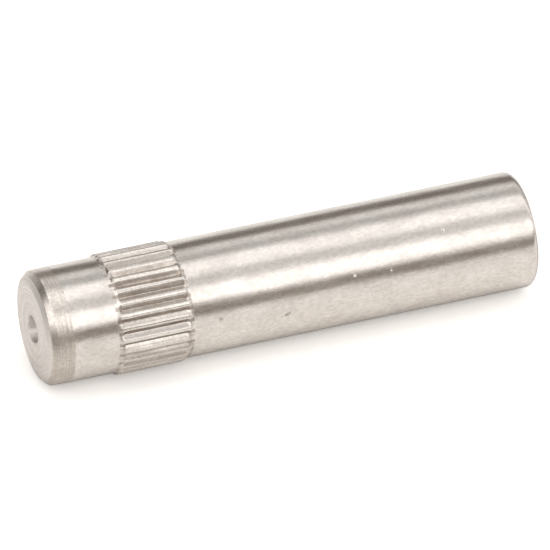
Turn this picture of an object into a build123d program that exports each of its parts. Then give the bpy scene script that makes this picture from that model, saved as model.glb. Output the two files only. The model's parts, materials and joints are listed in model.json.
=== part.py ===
from build123d import *
from math import pi, radians, tan
import os

os.makedirs("parts", exist_ok=True)

# Sizes in millimetres. The pin stands on its plain end at Z = 0, with its axis on +Z
# and the grooved end up.

# Shank
pin_diameter = 7.94
pin_length = 34.93
plain_end_round = 0.5

# Turned lead-in at the grooved end, with a steep corner and a shallow bevel round its face
lead_in_length = 1.7
lead_in_drop = 0.02
corner_width = 0.33
corner_depth = 0.38
bevel_width = 0.57
bevel_depth = 0.17
edge_round = 0.12

# Centre dimple left by the lathe centre
dimple_radius = 1.0
dimple_tip_radius = 0.2
dimple_angle = 60.0

# Grooved band
band_inset = 4.8
band_length = 5.4
crest_rise = 0.16
root_drop = 0.13
groove_count = 29
groove_share = 0.75
crest_ramp = 0.3
root_ramp = 0.3

pin_radius = pin_diameter / 2
crest_radius = pin_radius + crest_rise
root_radius = pin_radius - root_drop
band_top = pin_length - band_inset
band_bottom = band_top - band_length
groove_pitch = 2 * pi * crest_radius / groove_count
groove_width = groove_share * groove_pitch


def turned_blank():
    """The pin as turned and rolled, with a plain raised band where the grooves will be."""
    lead_in_radius = pin_radius - lead_in_drop
    bevel_radius = lead_in_radius - corner_width
    face_radius = bevel_radius - bevel_width
    lead_in_bottom = pin_length - lead_in_length
    bevel_bottom = pin_length - bevel_depth
    corner_bottom = bevel_bottom - corner_depth
    dimple_depth = (dimple_radius - dimple_tip_radius) / tan(radians(dimple_angle / 2))
    dimple_floor = pin_length - dimple_depth
    outline = Polyline(
        (0, 0),
        (pin_radius, 0),
        (pin_radius, band_bottom),
        (crest_radius, band_bottom + crest_ramp),
        (crest_radius, band_top - crest_ramp),
        (pin_radius, band_top),
        (pin_radius, lead_in_bottom),
        (lead_in_radius, corner_bottom),
        (bevel_radius, bevel_bottom),
        (face_radius, pin_length),
        (dimple_radius, pin_length),
        (dimple_tip_radius, dimple_floor),
        (0, dimple_floor),
        close=True,
    )
    section = make_face(outline)
    section = rounded(section, pin_radius, 0, plain_end_round)
    section = rounded(section, lead_in_radius, corner_bottom, edge_round)
    section = rounded(section, bevel_radius, bevel_bottom, edge_round)
    section = rounded(section, face_radius, pin_length, edge_round)
    return revolve(Plane.XZ * section, Axis.Z)


def rounded(section, x, y, radius):
    """The section with its corner at x, y rounded."""
    corner = section.vertices().sort_by_distance((x, y, 0))[0]
    return fillet(corner, radius)


def groove_cutter():
    """A long V wedge on the +X side, with its ridge at the groove's root and both ends run out."""
    mouth_radius = crest_radius + crest_rise
    flank = groove_width / 2 / (crest_radius - root_radius)
    mouth_half_width = flank * (mouth_radius - root_radius)
    overrun = (mouth_radius - pin_radius) * root_ramp / root_drop
    ridge_low = Vector(root_radius, 0, band_bottom + root_ramp)
    ridge_high = Vector(root_radius, 0, band_top - root_ramp)
    low_left = Vector(mouth_radius, mouth_half_width, band_bottom - overrun)
    low_right = Vector(mouth_radius, -mouth_half_width, band_bottom - overrun)
    high_left = Vector(mouth_radius, mouth_half_width, band_top + overrun)
    high_right = Vector(mouth_radius, -mouth_half_width, band_top + overrun)
    corner_loops = [
        (low_left, low_right, high_right, high_left),
        (low_left, ridge_low, ridge_high, high_left),
        (low_right, high_right, ridge_high, ridge_low),
        (low_left, low_right, ridge_low),
        (high_left, ridge_high, high_right),
    ]
    faces = [Face(Wire.make_polygon(loop, close=True)) for loop in corner_loops]
    return Solid(Shell(faces))


pin = turned_blank() - PolarLocations(0, groove_count) * groove_cutter()
export_step(pin, "parts/pin.step")
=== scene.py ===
"""Looks of the grooved pin: the detailed steel pin, a pale floor, a studio and the camera."""

import json
import math

import bpy
import numpy as np
from mathutils import Matrix, Vector


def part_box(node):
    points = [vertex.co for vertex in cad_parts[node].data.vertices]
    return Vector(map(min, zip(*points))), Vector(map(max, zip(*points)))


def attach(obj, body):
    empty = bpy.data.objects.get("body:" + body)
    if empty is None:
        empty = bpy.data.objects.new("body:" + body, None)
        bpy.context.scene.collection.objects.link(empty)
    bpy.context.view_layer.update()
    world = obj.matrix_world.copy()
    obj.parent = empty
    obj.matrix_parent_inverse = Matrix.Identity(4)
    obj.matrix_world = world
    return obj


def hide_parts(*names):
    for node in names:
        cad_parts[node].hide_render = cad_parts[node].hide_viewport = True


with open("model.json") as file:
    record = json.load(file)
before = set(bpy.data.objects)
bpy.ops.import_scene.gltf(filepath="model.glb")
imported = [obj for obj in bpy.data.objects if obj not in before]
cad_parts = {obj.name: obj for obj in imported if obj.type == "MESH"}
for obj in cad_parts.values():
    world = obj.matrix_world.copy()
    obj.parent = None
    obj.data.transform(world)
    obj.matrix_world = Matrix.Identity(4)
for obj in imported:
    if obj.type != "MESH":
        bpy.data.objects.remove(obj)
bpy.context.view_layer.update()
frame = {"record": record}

MM = 0.001
mounts = {mount["name"]: mount for mount in frame["record"]["mounts"]}

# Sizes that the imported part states
pin_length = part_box("pin")[1].z
pin_radius = mounts["shank"]["dims"]["r_mm"] * MM
crest_radius = mounts["groove_band"]["dims"]["r_mm"] * MM
band_middle = mounts["groove_band"]["pos_m"][2]
band_half = mounts["groove_band"]["dims"]["length_mm"] * MM / 2
band_low = band_middle - band_half
band_high = band_middle + band_half

# Sizes of the turned ends, as in the solid
plain_end_round = 0.5 * MM
lead_in_low = pin_length - 1.7 * MM
lead_in_radius = pin_radius - 0.02 * MM
bevel_radius = lead_in_radius - 0.33 * MM
face_radius = bevel_radius - 0.57 * MM
bevel_low = pin_length - 0.17 * MM
corner_low = bevel_low - 0.38 * MM
edge_round = 0.12 * MM
dimple_radius = 1.0 * MM
dimple_tip_radius = 0.2 * MM
dimple_half_angle = math.radians(30)
dimple_depth = (dimple_radius - dimple_tip_radius) / math.tan(dimple_half_angle)
dimple_rim_round = 0.15 * MM
ridge_depth = 0.008 * MM

# The rolled teeth, as many as in the solid and about as deep. The two flanks are those of a groove.
tooth_count = 29
groove_depth = 0.30 * MM
tooth_pitch = 2 * math.pi * crest_radius / tooth_count
lower_flank = math.radians(42)
upper_flank = math.radians(40)
crest_round = 0.014 * MM
root_round = 0.02 * MM
root_half_width = 0.05 * MM
crest_ramp = 0.25 * MM
groove_ramp = 0.45 * MM
tooth_end_length = 0.7 * MM
sway_width = 0.01 * MM
sway_length = 0.45 * MM

# Azimuths at which the teeth's painted shade, their painted contact shade and the lead-in's darkening are
# strongest
painted_shade_side = math.radians(-95)
painted_contact_shade_side = math.radians(-175)
lead_in_dark_side = math.radians(-128)

# The photograph: where the axis meets the two ends, the frame, how far the pin is turned from square on and
# which azimuth of the pin faces the camera
grooved_end_pixel = (32.6, 329.5)
plain_end_pixel = (519.7, 228.4)
frame_pixels = 550
view_turn = math.radians(16.4)
view_azimuth = math.radians(-87.2)
lens_mm = 1200
sensor_mm = 36


# The pin's outline, turned round the axis

def line(start, end, steps):
    """Points from start to end, without start."""
    shares = np.linspace(0, 1, steps + 1)[1:]
    return [tuple(np.add(start, share * np.subtract(end, start))) for share in shares]


def ridges(start, end, steps):
    """A line with the low uneven ridges that a turning tool leaves, all below the line."""
    own = np.random.RandomState(steps)
    points = line(start, end, steps)
    spacing = np.subtract(end, start) / steps
    below = np.array((-spacing[1], spacing[0])) / np.hypot(*spacing)
    depths = own.uniform(0, 1, steps) * ridge_depth
    shifts = own.uniform(-0.3, 0.3, steps)
    depths[-1] = shifts[-1] = 0
    return [tuple(np.array(p) + spacing * s + below * d) for p, s, d in zip(points, shifts, depths)]


def corner(before, at, after, radius, steps):
    """Points of the arc of that radius which rounds a corner of the outline."""
    at = Vector(at)
    to_before = (Vector(before) - at).normalized()
    to_after = (Vector(after) - at).normalized()
    half = to_before.angle(to_after) / 2
    centre = at + (to_before + to_after).normalized() * radius / math.sin(half)
    first = at + to_before * radius / math.tan(half) - centre
    last = at + to_after * radius / math.tan(half) - centre
    turn = -first.angle_signed(last)
    angles = [turn * share for share in np.linspace(0, 1, steps + 1)]
    return [tuple(centre + Matrix.Rotation(angle, 2) @ first) for angle in angles]


def outline():
    """Rings of the turned pin as (zone, (radius, height)), from the plain end to the dimple."""
    plain_corner = (pin_radius, 0)
    lead_in_foot = (pin_radius, lead_in_low)
    lead_in_top = (lead_in_radius, corner_low)
    bevel_foot = (bevel_radius, bevel_low)
    face_edge = (face_radius, pin_length)
    dimple_edge = (dimple_radius, pin_length)
    dimple_rim = (dimple_radius + dimple_rim_round, pin_length)
    dimple_floor = (dimple_tip_radius, pin_length - dimple_depth)
    low_ends = (pin_radius, band_low + tooth_end_length)
    high_ends = (pin_radius, band_high - tooth_end_length)
    rings = []

    def add(zone, points):
        rings.extend((zone, point) for point in points)

    add("faced", line((0, 0), (pin_radius - plain_end_round, 0), 4)[:-1])
    add("ground", corner((0, 0), plain_corner, (pin_radius, band_low), plain_end_round, 8))
    add("ground", line(rings[-1][1], (pin_radius, band_low), 12))
    add("rolled", line((pin_radius, band_low), low_ends, 12))
    add("rolled", line(low_ends, high_ends, 24))
    add("rolled", line(high_ends, (pin_radius, band_high), 12))
    add("ground", line((pin_radius, band_high), lead_in_foot, 4))
    add("turned", ridges(lead_in_foot, lead_in_top, 20)[:-1])
    add("turned", corner(lead_in_foot, lead_in_top, bevel_foot, edge_round, 5))
    add("turned", corner(lead_in_top, bevel_foot, face_edge, edge_round, 5))
    add("faced", corner(bevel_foot, face_edge, dimple_edge, edge_round, 4))
    add("faced", ridges(rings[-1][1], dimple_rim, 16))
    add("faced", corner(rings[-2][1], dimple_edge, dimple_floor, dimple_rim_round, 5))
    add("bored", line(rings[-1][1], dimple_floor, 8))
    add("bored", line(dimple_floor, (dimple_tip_radius / 3, dimple_floor[1]), 2))
    return rings


# The teeth of the grooved band

def smooth(value):
    """0 to 1 with soft ends."""
    value = np.clip(value, 0, 1)
    return value * value * (3 - 2 * value)


def lowest(surfaces, rounding):
    """The lowest of some surfaces at each place, with the edges between them rounded."""
    return -rounding * np.log(sum(np.exp(-surface / rounding) for surface in surfaces))


class Teeth:
    """What each tooth of the band has of its own."""
    least_painted_shade = 0.15
    most_painted_contact_shade = 0.38
    own = np.random.RandomState(5)
    rise = own.uniform(0.88, 1.0, tooth_count)
    low_end = own.uniform(0.0, 0.2, tooth_count) * MM
    high_end = own.uniform(0.0, 0.2, tooth_count) * MM
    lean = own.uniform(-0.015, 0.015, tooth_count) * MM
    wave = own.uniform(0, 2 * math.pi, tooth_count)
    taper = own.uniform(-0.02, 0.02, tooth_count) * MM
    fuller = own.uniform(-0.02, 0.03, tooth_count) * MM
    azimuth = -(np.arange(tooth_count) + 0.5) * 2 * math.pi / tooth_count
    # Painted shade in each tooth's grooves and at its ends, strongest on the side that faces the camera, with
    # a little all round
    stain = own.uniform(0.9, 1.1, tooth_count)
    stain = stain * (0.3 + 0.7 * np.cos(azimuth - painted_shade_side)).clip(least_painted_shade)
    # Painted contact shade on the teeth that lie towards the floor
    painted_contact_shade = most_painted_contact_shade * smooth(2 * np.cos(azimuth - painted_contact_shade_side) - 1)


def land_shift(height):
    """How far aside each tooth's land lies at one height, and how much fuller its flanks are there."""
    sway = Teeth.lean + sway_width * np.sin(Teeth.wave + height / sway_length)
    fuller = Teeth.fuller + Teeth.taper * (height - band_middle) / band_half
    return sway, fuller


def tooth_columns(height):
    """Places across each tooth where the mesh has its columns, closer at the edges of the land."""
    sway, fuller = land_shift(height)
    land_start = (groove_depth - fuller) / math.tan(lower_flank) + sway
    land_end = tooth_pitch - (groove_depth - fuller) / math.tan(upper_flank) + sway
    round_edge = np.array((-0.045, -0.02, 0, 0.02, 0.045)) * MM
    places = [np.full(tooth_count, root_half_width * share) for share in (0, 0.4, 1)]
    places += [root_half_width + (land_start - root_half_width) * share for share in (0.3, 0.6)]
    places += [land_start + offset for offset in round_edge]
    places += [(land_start + land_end) / 2]
    places += [land_end + offset for offset in round_edge]
    places += [land_end + (tooth_pitch - root_half_width - land_end) * share for share in (0.4, 0.7)]
    places += [np.full(tooth_count, tooth_pitch - root_half_width * share) for share in (1, 0.4)]
    return np.array(places).T


def band_radius(across, height):
    """Radius of the band at places across each tooth, at one height."""
    sway, fuller = land_shift(height)
    share = across / tooth_pitch
    inside = 4 * share * (1 - share)
    shifted = across - sway[:, None] * inside
    depth = groove_depth - fuller[:, None] * inside
    rising = shifted * math.tan(lower_flank) - depth
    falling = (tooth_pitch - shifted) * math.tan(upper_flank) - depth
    form = lowest((rising, falling, np.zeros(across.shape)), crest_round)
    root_level = -groove_depth + 0.7 * root_round
    form = -lowest((-form, np.full(across.shape, -root_level)), root_round)
    from_low = (height - band_low - Teeth.low_end)[:, None]
    from_high = (band_high - Teeth.high_end - height)[:, None]
    crest = (crest_radius - pin_radius) * Teeth.rise[:, None]
    crest = crest * smooth(from_low / crest_ramp) * smooth(from_high / crest_ramp)
    return pin_radius + crest + form * smooth(from_low / groove_ramp) * smooth(from_high / groove_ramp)


def band_painted_shade(across, height):
    """Painted shade on the band at places across each tooth: most on the flank under each crest, some near
    the teeth's ends, with the painted contact shade added.
    """
    places = (0, 0.04, 0.14, 0.20, 0.26, 0.32, 0.66, 0.72, 0.97, 1)
    levels = (0.4, 0, 0, 0.6, 0.6, 0, 0, 1, 1, 0.4)
    flank = np.interp(across / tooth_pitch, places, levels)
    from_low = (height - band_low - Teeth.low_end)[:, None]
    from_high = (band_high - Teeth.high_end - height)[:, None]
    nearest = np.minimum(from_low, from_high) / crest_ramp
    ends = np.interp(nearest, (0, 0.4, 0.9, 1.3), (0, 0.3, 0.3, 0))
    return np.maximum(flank, ends) * Teeth.stain[:, None] + Teeth.painted_contact_shade[:, None]


def lead_in_darkening(angles):
    """How much darker and rougher the turned lead-in is at each angle: more on the camera's lower side."""
    starts, full = 0.71, 0.84
    return smooth((np.cos(angles - lead_in_dark_side) - starts) / (full - starts))


def pin_mesh():
    """One closed mesh of the pin, its faces grouped in zones of finish."""
    rings = outline()
    columns = tooth_columns(band_middle).size
    points, stains_and_shades = [(0, 0, 0)], [0]
    for zone, (radius, height) in rings:
        across = tooth_columns(min(max(height, band_low), band_high))
        place = across / tooth_pitch + np.arange(tooth_count)[:, None]
        angles = (-place * 2 * math.pi / tooth_count).ravel()[::-1]
        radii = np.full(columns, radius)
        stain = np.zeros(columns)
        # The band's painted shade and the lead-in's darkening go into the mesh's attribute
        if zone == "rolled":
            radii = band_radius(across, height).ravel()[::-1]
            stain = band_painted_shade(across, height).ravel()[::-1]
        if zone == "turned":
            stain = lead_in_darkening(angles)
        points.extend(zip(radii * np.cos(angles), radii * np.sin(angles), np.full(columns, height)))
        stains_and_shades.extend(stain)
    points.append((0, 0, rings[-1][1][1]))
    stains_and_shades.append(0)
    faces, zones = [], []
    for column in range(columns):
        following = (column + 1) % columns
        faces.append((0, 1 + following, 1 + column))
        zones.append(rings[0][0])
        for ring in range(len(rings) - 1):
            low = 1 + ring * columns
            high = low + columns
            faces.append((low + column, low + following, high + following, high + column))
            zones.append(rings[ring + 1][0])
        top = 1 + (len(rings) - 1) * columns
        faces.append((top + column, top + following, len(points) - 1))
        zones.append(rings[-1][0])
    mesh = bpy.data.meshes.new("steel_pin")
    mesh.from_pydata(points, [], faces)
    finishes = ["ground", "rolled", "turned", "faced", "bored"]
    mesh.polygons.foreach_set("material_index", [finishes.index(zone) for zone in zones])
    mesh.attributes.new("stain", "FLOAT", "POINT").data.foreach_set("value", stains_and_shades)
    mesh.shade_smooth()
    mesh.set_sharp_from_angle(angle=math.radians(50))
    for finish in finishes:
        mesh.materials.append(steel(**FINISHES[finish]))
    return mesh


# Steel finishes

def stretched_noise(tree, scale, detail):
    """Noise in millimetres, drawn out by a different scale along each axis."""
    links, nodes = tree.links, tree.nodes
    place = nodes.new("ShaderNodeTexCoord")
    mapping = nodes.new("ShaderNodeMapping")
    mapping.inputs["Scale"].default_value = [value / MM for value in scale]
    noise = nodes.new("ShaderNodeTexNoise")
    noise.inputs["Scale"].default_value = 1
    noise.inputs["Detail"].default_value = detail
    noise.inputs["Roughness"].default_value = 0.6
    links.new(place.outputs["Object"], mapping.inputs["Vector"])
    links.new(mapping.outputs["Vector"], noise.inputs["Vector"])
    return noise.outputs["Fac"]


def ring_noise(tree, scale, detail):
    """Noise in millimetres that runs in rings round the axis, as a turning tool leaves them."""
    links, nodes = tree.links, tree.nodes
    place = nodes.new("ShaderNodeTexCoord")
    parts = nodes.new("ShaderNodeSeparateXYZ")
    links.new(place.outputs["Object"], parts.inputs["Vector"])
    flat = nodes.new("ShaderNodeVectorMath")
    flat.operation = "MULTIPLY"
    flat.inputs[1].default_value = (1, 1, 0)
    links.new(place.outputs["Object"], flat.inputs[0])
    radius = nodes.new("ShaderNodeVectorMath")
    radius.operation = "LENGTH"
    links.new(flat.outputs["Vector"], radius.inputs[0])
    ring = nodes.new("ShaderNodeCombineXYZ")
    links.new(radius.outputs["Value"], ring.inputs["X"])
    links.new(parts.outputs["Z"], ring.inputs["Y"])
    drift = nodes.new("ShaderNodeVectorMath")
    drift.operation = "MULTIPLY_ADD"
    drift.inputs[1].default_value = (0.03, 0.03, 0)
    links.new(place.outputs["Object"], drift.inputs[0])
    links.new(ring.outputs["Vector"], drift.inputs[2])
    noise = nodes.new("ShaderNodeTexNoise")
    noise.inputs["Scale"].default_value = scale / MM
    noise.inputs["Detail"].default_value = detail
    links.new(drift.outputs["Vector"], noise.inputs["Vector"])
    return noise.outputs["Fac"]


def spread(tree, value, low, high):
    """A noise value, from its usual 0.3 to 0.7, spread between low and high."""
    node = tree.nodes.new("ShaderNodeMapRange")
    node.inputs["From Min"].default_value = 0.3
    node.inputs["From Max"].default_value = 0.7
    node.inputs["To Min"].default_value = low
    node.inputs["To Max"].default_value = high
    tree.links.new(value, node.inputs["Value"])
    return node.outputs["Result"]


def bump(tree, height, distance, normal=None):
    """The normal of a surface raised by a height from 0 to 1 times a distance, over the normal given."""
    node = tree.nodes.new("ShaderNodeBump")
    node.inputs["Distance"].default_value = distance
    tree.links.new(height, node.inputs["Height"])
    if normal is not None:
        tree.links.new(normal, node.inputs["Normal"])
    return node.outputs["Normal"]


def times_plus(tree, value, factor, more):
    """A value times a factor plus some more, each of the last two a number or a value."""
    node = tree.nodes.new("ShaderNodeMath")
    node.operation = "MULTIPLY_ADD"
    tree.links.new(value, node.inputs[0])
    for number, given in ((1, factor), (2, more)):
        if isinstance(given, bpy.types.NodeSocket):
            tree.links.new(given, node.inputs[number])
        else:
            node.inputs[number].default_value = given
    return node.outputs["Value"]


def pitted(tree):
    """How deep in one of the pits each place is, and how stained there, both from 0 to about 1."""
    place = tree.nodes.new("ShaderNodeTexCoord")
    depth = stain = 0
    for from_end, degrees, radius, deepest, darkest in PITS:
        azimuth = view_azimuth - math.radians(degrees)
        away = tree.nodes.new("ShaderNodeVectorMath")
        away.operation = "DISTANCE"
        centre = (math.cos(azimuth) * pin_radius, math.sin(azimuth) * pin_radius, pin_length - from_end * MM)
        away.inputs[1].default_value = centre
        tree.links.new(place.outputs["Object"], away.inputs[0])
        inside = tree.nodes.new("ShaderNodeMapRange")
        inside.interpolation_type = "SMOOTHSTEP"
        inside.inputs["From Max"].default_value = radius * MM
        inside.inputs["To Min"].default_value = 1
        inside.inputs["To Max"].default_value = 0
        tree.links.new(away.outputs["Value"], inside.inputs["Value"])
        depth = times_plus(tree, inside.outputs["Result"], deepest, depth)
        stain = times_plus(tree, inside.outputs["Result"], darkest, stain)
    return depth, stain


def steel(
    name, color, roughness, anisotropy, line_scale, line_height, grain_scale, grain_height, mottle,
    wave_height, patched=0, ringed=0, stain=0, pit_depth=0,
):
    """Bare steel, a little wavy, with tool lines, grain and, where asked, patches, rings, the mesh
    attribute's painted shade and darkening, and stained pits.
    """
    material = bpy.data.materials.new(name)
    material.use_nodes = True
    tree = material.node_tree
    shader = tree.nodes["Principled BSDF"]
    shader.inputs["Metallic"].default_value = 1
    shader.inputs["Anisotropic"].default_value = anisotropy
    shader.inputs["Anisotropic Rotation"].default_value = 0.25
    tangent = tree.nodes.new("ShaderNodeTangent")
    tangent.direction_type = "RADIAL"
    tangent.axis = "Z"
    tree.links.new(tangent.outputs["Tangent"], shader.inputs["Tangent"])
    grain = stretched_noise(tree, grain_scale, 5)
    lines = stretched_noise(tree, line_scale, 3)
    waves = stretched_noise(tree, WAVE_SCALE, 1)
    tint = tree.nodes.new("ShaderNodeMix")
    tint.data_type = "RGBA"
    tint.inputs["A"].default_value = [value * (1 - mottle) for value in color] + [1]
    tint.inputs["B"].default_value = [value * (1 + mottle) for value in color] + [1]
    tree.links.new(spread(tree, grain, 0, 1), tint.inputs["Factor"])
    # The mesh's attribute: painted shade on the band, darkening on the lead-in
    darkening_attribute = tree.nodes.new("ShaderNodeAttribute")
    darkening_attribute.attribute_name = "stain"
    patches = spread(tree, stretched_noise(tree, PATCH_SCALE, 4), 0, patched)
    rings = spread(tree, ring_noise(tree, RING_SCALE, 3), 0, ringed)
    amount = times_plus(tree, patches, 1, rings)
    amount = times_plus(tree, darkening_attribute.outputs["Fac"], spread(tree, lines, stain * 0.7, stain * 1.3), amount)
    if pit_depth:
        pits, pit_stain = pitted(tree)
        amount = times_plus(tree, pit_stain, 1, amount)
    stained_and_shaded = tree.nodes.new("ShaderNodeMix")
    stained_and_shaded.data_type = "RGBA"
    stained_and_shaded.inputs["B"].default_value = STAIN_AND_SHADE_COLOR
    tree.links.new(amount, stained_and_shaded.inputs["Factor"])
    tree.links.new(tint.outputs["Result"], stained_and_shaded.inputs["A"])
    tree.links.new(stained_and_shaded.outputs["Result"], shader.inputs["Base Color"])
    clean_roughness = spread(tree, lines, roughness * 0.85, roughness * 1.15)
    tree.links.new(times_plus(tree, amount, STAIN_AND_SHADE_ROUGHNESS, clean_roughness), shader.inputs["Roughness"])
    normal = bump(tree, waves, wave_height)
    normal = bump(tree, grain, grain_height, normal)
    if pit_depth:
        normal = bump(tree, pits, -pit_depth, normal)
    tree.links.new(bump(tree, lines, line_height, normal), shader.inputs["Normal"])
    return material


WAVE_SCALE = (0.6, 0.6, 0.3)
PATCH_SCALE = (0.8, 0.8, 0.5)
RING_SCALE = 7
# Colour towards which patches, rings and stained pits darken, and the band's painted shade and the lead-in's
# darkening too
STAIN_AND_SHADE_COLOR = (0.22, 0.165, 0.13, 1)
STAIN_AND_SHADE_ROUGHNESS = 0.25

# Small pits in the shank: millimetres from the grooved end, degrees down from the side that faces the camera,
# radius in millimetres, and how deep and how stained it is, both from 0 to 1

PITS = (
    (16.62, 39.4, 0.14, 0.6, 0.5),
    (16.78, 38.3, 0.17, 0.8, 0.5),
    (16.94, 37.2, 0.14, 0.6, 0.5),
    (12.0, 27.7, 0.20, 1, 0.4),
    (21.7, 12, 0.13, 1, 0),
    (24.3, 14, 0.12, 0.3, 0.3),
    (28.4, -13.5, 0.16, 1, 0),
)

# Scales are changes in a millimetre along X, Y and Z, and heights are in metres.

FINISHES = {
    "ground": {
        "name": "ground_steel",
        "color": (0.72, 0.672, 0.625),
        "roughness": 0.25,
        "anisotropy": 0.5,
        "line_scale": (2.5, 2.5, 0.35),
        "line_height": 1.5e-6,
        "grain_scale": (4.5, 4.5, 3),
        "grain_height": 3e-6,
        "mottle": 0.12,
        "wave_height": 22e-6,
        "patched": 0.2,
        "pit_depth": 60e-6,
    },
    "rolled": {
        "name": "rolled_steel",
        "color": (0.76, 0.71, 0.655),
        "roughness": 0.25,
        "anisotropy": 0,
        "line_scale": (3, 3, 1.2),
        "line_height": 4e-6,
        "grain_scale": (6, 6, 5),
        "grain_height": 2e-6,
        "mottle": 0.18,
        "wave_height": 4e-6,
        "patched": 0.15,
        "stain": 0.62,
    },
    "turned": {
        "name": "turned_steel",
        "color": (0.76, 0.70, 0.64),
        "roughness": 0.31,
        "anisotropy": 0.5,
        "line_scale": (0.3, 0.3, 8),
        "line_height": 3e-6,
        "grain_scale": (5, 5, 5),
        "grain_height": 3e-6,
        "mottle": 0.2,
        "wave_height": 6e-6,
        "patched": 0.12,
        "ringed": 0.22,
        "stain": 0.25,
    },
    "bored": {
        "name": "bored_steel",
        "color": (0.55, 0.51, 0.475),
        "roughness": 0.55,
        "anisotropy": 0,
        "line_scale": (3, 3, 3),
        "line_height": 8e-6,
        "grain_scale": (6, 6, 6),
        "grain_height": 3e-6,
        "mottle": 0.25,
        "wave_height": 6e-6,
    },
    "faced": {
        "name": "faced_steel",
        "color": (0.79, 0.74, 0.695),
        "roughness": 0.36,
        "anisotropy": 0,
        "line_scale": (2, 2, 2),
        "line_height": 4e-6,
        "grain_scale": (6, 6, 6),
        "grain_height": 3e-6,
        "mottle": 0.1,
        "wave_height": 6e-6,
        "ringed": 0.3,
    },
}


# The camera, and the floor that the pin lies against in the photograph

def camera_axes():
    """The camera's right, up and backwards as columns of a matrix in the frame, and the floor's normal."""
    across = plain_end_pixel[0] - grooved_end_pixel[0]
    rise = grooved_end_pixel[1] - plain_end_pixel[1]
    slope = math.atan2(rise, across)
    pin_in_view = Vector((
        -math.cos(slope) * math.cos(view_turn),
        -math.sin(slope) * math.cos(view_turn),
        math.sin(view_turn),
    ))
    # The floor runs level across the picture, and the pin lies along it.
    floor_in_view = Vector((0, pin_in_view.z, -pin_in_view.y)).normalized()
    side_in_view = floor_in_view.cross(pin_in_view)
    view_to_frame = Matrix((side_in_view, floor_in_view, pin_in_view))
    # Turned about the pin's axis, so that the camera faces the same groove as in the photograph.
    backwards = view_to_frame.col[2]
    turn = view_azimuth - math.atan2(backwards.y, backwards.x)
    view_to_frame = Matrix.Rotation(turn, 3, "Z") @ view_to_frame
    return view_to_frame, view_to_frame @ floor_in_view


def add_camera(view_to_frame):
    """The camera, far off and long, with both ends of the pin's axis where the photograph has them."""
    data = bpy.data.cameras.new("camera")
    data.lens = lens_mm
    data.sensor_width = sensor_mm
    camera = bpy.data.objects.new("camera", data)
    bpy.context.scene.collection.objects.link(camera)
    right, up, backwards = (view_to_frame.col[i] for i in range(3))
    pixels = Vector(plain_end_pixel) - Vector(grooved_end_pixel)
    metres_per_pixel = pin_length * math.cos(view_turn) / pixels.length
    distance = frame_pixels * metres_per_pixel * lens_mm / sensor_mm
    # The point of the axis that shows halfway between the two ends.
    nearer = math.sin(view_turn) * pin_length / 2 / distance
    halfway = Vector((0, 0, pin_length / 2 * (1 + nearer)))
    middle = (Vector(plain_end_pixel) + Vector(grooved_end_pixel)) / 2
    aside, below = (middle - Vector((frame_pixels / 2, frame_pixels / 2))) * metres_per_pixel
    target = halfway - right * aside + up * below
    camera.matrix_world = Matrix.Translation(target + backwards * distance) @ view_to_frame.to_4x4()
    data.clip_start = distance / 10
    data.clip_end = distance * 4
    bpy.context.scene.camera = camera


FLOOR_GLOW = (1, 0.96, 0.92, 1)
floor_reach = 0.4
floor_before_pin = 0.06
floor_past_pin = 0.014
# The floor's painted shadow along the pin: where it starts to lighten, where it has gone, and where it fades
# out past the grooved end
painted_shadow_start = 0.25 * pin_radius
painted_shadow_end = 0.8 * pin_radius
painted_shadow_fades_from = pin_length - 1 * MM
painted_shadow_fades_to = pin_length + 2 * MM


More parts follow.
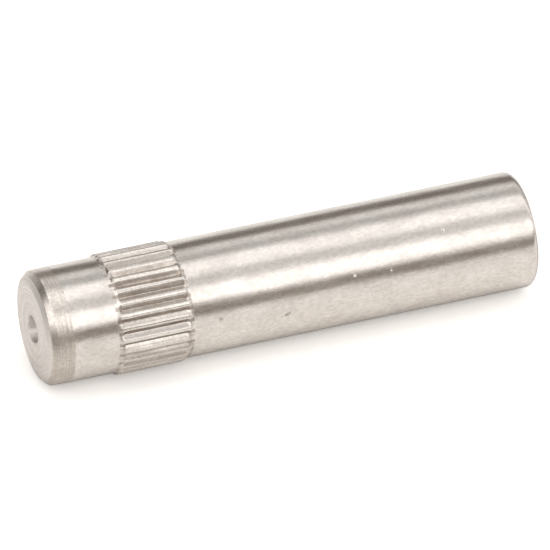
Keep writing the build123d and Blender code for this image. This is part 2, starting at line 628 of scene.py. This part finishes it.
def floor_material(nearer):
    """Pale and with a faint glow, darker to the steel than to the camera, with a painted shadow along the pin
    for reflected rays only, and not seen from behind.
    """
    material = bpy.data.materials.new("pale_floor")
    material.use_nodes = True
    nodes, links = material.node_tree.nodes, material.node_tree.links
    nodes.clear()
    rays = nodes.new("ShaderNodeLightPath")
    side = nodes.new("ShaderNodeNewGeometry")

    def lit(color, glow_strength, painted_shadow_share):
        """A lit surface, whose colour falls to the share given in a painted shadow along the pin's contact
        line.
        """
        shade = nodes.new("ShaderNodeMix")
        shade.data_type = "RGBA"
        shade.inputs["A"].default_value = [value * painted_shadow_share for value in color[:3]] + [1]
        shade.inputs["B"].default_value = color
        links.new(outside_painted_shadow.outputs["Value"], shade.inputs["Factor"])
        matt = nodes.new("ShaderNodeBsdfDiffuse")
        links.new(shade.outputs["Result"], matt.inputs["Color"])
        glow = nodes.new("ShaderNodeEmission")
        glow.inputs["Color"].default_value = FLOOR_GLOW
        glow.inputs["Strength"].default_value = glow_strength
        both = nodes.new("ShaderNodeAddShader")
        links.new(matt.outputs["BSDF"], both.inputs[0])
        links.new(glow.outputs["Emission"], both.inputs[1])
        return both.outputs["Shader"]

    def mixed(factor, first, second):
        """The first shader, or the second where the factor is 1."""
        mix = nodes.new("ShaderNodeMixShader")
        links.new(factor, mix.inputs["Fac"])
        links.new(first, mix.inputs[1])
        links.new(second, mix.inputs[2])
        return mix.outputs["Shader"]

    place = nodes.new("ShaderNodeTexCoord")
    across = nodes.new("ShaderNodeVectorMath")
    across.operation = "DOT_PRODUCT"
    across.inputs[1].default_value = nearer
    links.new(place.outputs["Object"], across.inputs[0])
    distance = nodes.new("ShaderNodeMath")
    distance.operation = "ABSOLUTE"
    links.new(across.outputs["Value"], distance.inputs[0])
    away = nodes.new("ShaderNodeMapRange")
    away.interpolation_type = "SMOOTHSTEP"
    away.inputs["From Min"].default_value = painted_shadow_start
    away.inputs["From Max"].default_value = painted_shadow_end
    links.new(distance.outputs["Value"], away.inputs["Value"])
    height = nodes.new("ShaderNodeSeparateXYZ")
    links.new(place.outputs["Object"], height.inputs["Vector"])
    past_end = nodes.new("ShaderNodeMapRange")
    past_end.inputs["From Min"].default_value = painted_shadow_fades_from
    past_end.inputs["From Max"].default_value = painted_shadow_fades_to
    links.new(height.outputs["Z"], past_end.inputs["Value"])
    outside_painted_shadow = nodes.new("ShaderNodeMath")
    outside_painted_shadow.operation = "MAXIMUM"
    links.new(away.outputs["Result"], outside_painted_shadow.inputs[0])
    links.new(past_end.outputs["Result"], outside_painted_shadow.inputs[1])
    # Reflected rays see the floor with a painted shadow along the pin, the camera sees it without
    to_steel = lit(color=(0.95, 0.94, 0.92, 1), glow_strength=0.03, painted_shadow_share=0.46)
    to_camera = lit(color=(0.98, 0.97, 0.95, 1), glow_strength=0.25, painted_shadow_share=1)
    by_ray = mixed(rays.outputs["Is Camera Ray"], to_steel, to_camera)
    behind = nodes.new("ShaderNodeMath")
    behind.operation = "MULTIPLY"
    links.new(rays.outputs["Is Camera Ray"], behind.inputs[0])
    links.new(side.outputs["Backfacing"], behind.inputs[1])
    clear = nodes.new("ShaderNodeBsdfTransparent")
    out = nodes.new("ShaderNodeOutputMaterial")
    links.new(mixed(behind.outputs["Value"], by_ray, clear.outputs["BSDF"]), out.inputs["Surface"])
    return material


def add_floor(floor_up):
    """A flat sheet under the crests and the plain end's edge, which ends a little past the grooved end."""
    slope = (crest_radius - pin_radius) / (band_middle - plain_end_round)
    along = (Vector((0, 0, 1)) - floor_up * slope).normalized()
    nearer = along.cross(floor_up) * studio_side
    contact = Vector((0, 0, band_middle)) - floor_up * crest_radius
    top = pin_length - band_middle + floor_past_pin
    places = ((-floor_reach, -floor_reach), (top, -floor_reach), (top, floor_before_pin))
    places += ((-floor_reach, floor_before_pin),)
    corners = [contact + along * a + nearer * b for a, b in places]
    mesh = bpy.data.meshes.new("floor")
    mesh.from_pydata(corners, [], [(0, 1, 2, 3)])
    if mesh.polygons[0].normal.dot(floor_up) < 0:
        mesh.flip_normals()
    mesh.materials.append(floor_material(nearer))
    floor = bpy.data.objects.new("floor", mesh)
    bpy.context.scene.collection.objects.link(floor)


# The studio: panels that run along the pin, by their angles from straight up, positive towards the camera,
# and their brightness. Between two panels the light changes evenly. The end panels face the grooved end.

PANELS = (
    ("table behind", -180, -93, 0.25),
    ("far edge of the table", -91, -85, 1.0),
    ("dark wall behind", -79, -56, 0.21),
    ("back softbox", -51, -40, 1.05),
    ("gap above it", -31, -21, 0.54),
    ("overhead softbox", -13, 8, 1.5),
    ("ceiling", 19, 34, 0.78),
    ("front softbox", 42, 67, 1.8),
    ("dark camera side", 75, 93, 0.29),
    ("table in front", 97, 180, 0.25),
)

END_PANELS = (
    ("table behind", -180, -93, 0.4),
    ("pale wall behind", -88, -68, 0.7),
    ("dark stand", -62, -22, 0.1),
    ("end softbox", -5, 60, 2.0),
    ("dark camera side", 75, 97, 0.15),
    ("table in front", 105, 180, 0.4),
)

BRIGHTEST = 2
DARK_LEVEL = 0.3
DARK_PANEL = (1, 0.88, 0.77)
end_panels_start = 0.35
end_panels_full = 0.5


def add_studio(floor_up):
    """A world that shows the steel the panels, and the camera plain white."""
    world = bpy.data.worlds.new("studio")
    bpy.context.scene.world = world
    world.use_nodes = True
    nodes, links = world.node_tree.nodes, world.node_tree.links
    nodes.clear()
    place = nodes.new("ShaderNodeTexCoord")
    parts = nodes.new("ShaderNodeSeparateXYZ")
    links.new(place.outputs["Generated"], parts.inputs["Vector"])
    angle = nodes.new("ShaderNodeMath")
    angle.operation = "ARCTAN2"
    links.new(parts.outputs["Y"], angle.inputs[0])
    links.new(parts.outputs["X"], angle.inputs[1])
    up_angle = math.atan2(floor_up.y, floor_up.x)
    turned = nodes.new("ShaderNodeMath")
    turned.operation = "SUBTRACT"
    links.new(angle.outputs["Value"], turned.inputs[0])
    turned.inputs[1].default_value = up_angle
    wrapped = nodes.new("ShaderNodeMath")
    wrapped.operation = "WRAP"
    links.new(turned.outputs["Value"], wrapped.inputs[0])
    wrapped.inputs[1].default_value = math.pi
    wrapped.inputs[2].default_value = -math.pi
    place_on_ring = nodes.new("ShaderNodeMapRange")
    place_on_ring.inputs["From Min"].default_value = -math.pi * studio_side
    place_on_ring.inputs["From Max"].default_value = math.pi * studio_side
    links.new(wrapped.outputs["Value"], place_on_ring.inputs["Value"])

    def ring_of(panels):
        """The colour of the panels in each direction round the pin."""
        ring = nodes.new("ShaderNodeValToRGB")
        ring.color_ramp.interpolation = "LINEAR"
        elements = ring.color_ramp.elements
        edges = [(degrees, level) for name, start, end, level in panels for degrees in (start, end)]
        for degrees, level in edges[1:-1]:
            elements.new((degrees + 180) / 360)
        for element, (degrees, level) in zip(elements, edges):
            hue = DARK_PANEL if level < DARK_LEVEL else (1, 1, 1)
            element.color = [level / BRIGHTEST * value for value in hue] + [1]
        links.new(place_on_ring.outputs["Result"], ring.inputs["Fac"])
        return ring.outputs["Color"]

    past_end = nodes.new("ShaderNodeMapRange")
    past_end.inputs["From Min"].default_value = end_panels_start
    past_end.inputs["From Max"].default_value = end_panels_full
    links.new(parts.outputs["Z"], past_end.inputs["Value"])
    rings = nodes.new("ShaderNodeMix")
    rings.data_type = "RGBA"
    links.new(past_end.outputs["Result"], rings.inputs["Factor"])
    links.new(ring_of(PANELS), rings.inputs["A"])
    links.new(ring_of(END_PANELS), rings.inputs["B"])
    light = nodes.new("ShaderNodeBackground")
    light.inputs["Strength"].default_value = BRIGHTEST
    links.new(rings.outputs["Result"], light.inputs["Color"])
    white = nodes.new("ShaderNodeBackground")
    rays = nodes.new("ShaderNodeLightPath")
    white.inputs["Color"].default_value = (1, 1, 1, 1)
    mix = nodes.new("ShaderNodeMixShader")
    links.new(rays.outputs["Is Camera Ray"], mix.inputs["Fac"])
    links.new(light.outputs["Background"], mix.inputs[1])
    links.new(white.outputs["Background"], mix.inputs[2])
    out = nodes.new("ShaderNodeOutputWorld")
    links.new(mix.outputs["Shader"], out.inputs["Surface"])


pin = bpy.data.objects.new("steel_pin", pin_mesh())
bpy.context.scene.collection.objects.link(pin)
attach(pin, "root")
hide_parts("pin")

view_to_frame, floor_up = camera_axes()
studio_side = 1 if floor_up.cross(view_to_frame.col[2]).z > 0 else -1
add_camera(view_to_frame)
add_floor(floor_up)
add_studio(floor_up)
bpy.context.scene.view_settings.view_transform = "Standard"
